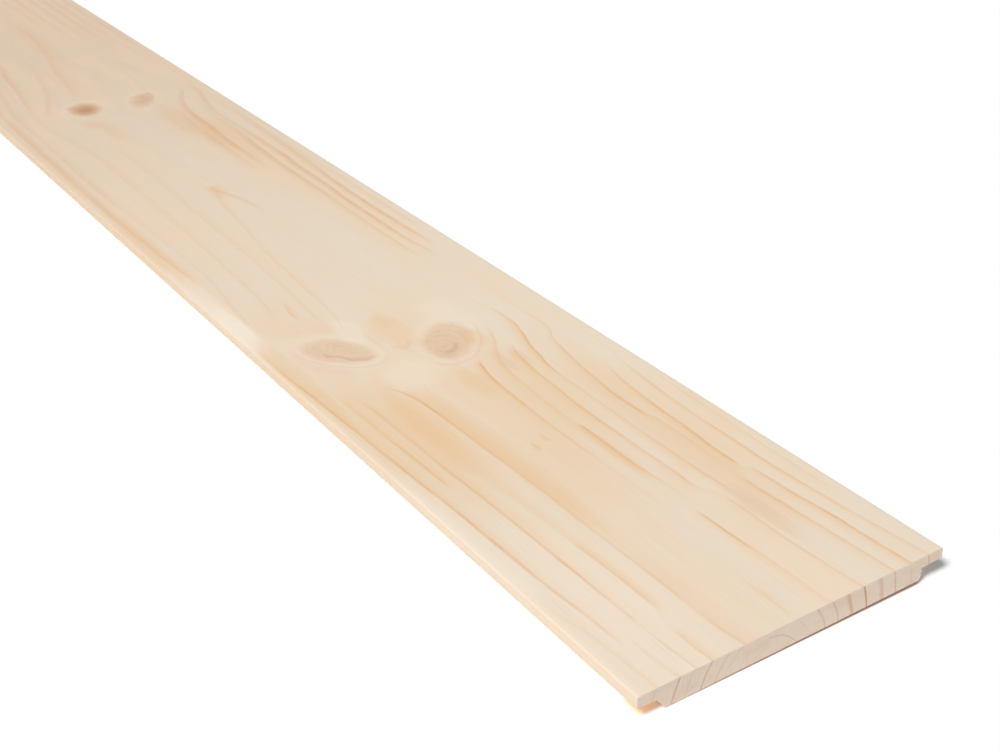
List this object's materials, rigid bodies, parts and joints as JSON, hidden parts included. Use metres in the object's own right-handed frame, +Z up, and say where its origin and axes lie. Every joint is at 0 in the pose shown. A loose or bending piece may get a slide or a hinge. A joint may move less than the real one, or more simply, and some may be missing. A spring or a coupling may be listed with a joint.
{
  "type": "shiplap cladding board",
  "caption": "Long flat softwood cladding board with planed knotty face and both long edges rebated from the back, leaving thin lips flush with the face.",
  "frame": {"origin": "middle of the flat back, which is the underside of the board as it lies face up", "axes": "+X along the board's length towards the end seen in the picture, +Y across the width towards the square-shouldered edge, +Z up through the thickness, out of the planed face"},
  "size_m": [1.8, 0.195, 0.014],
  "materials": {
    "pine": "planed, unfinished"
  },
  "bodies": {
    "root": {"board": "pine"}
  },
  "joints": []
}
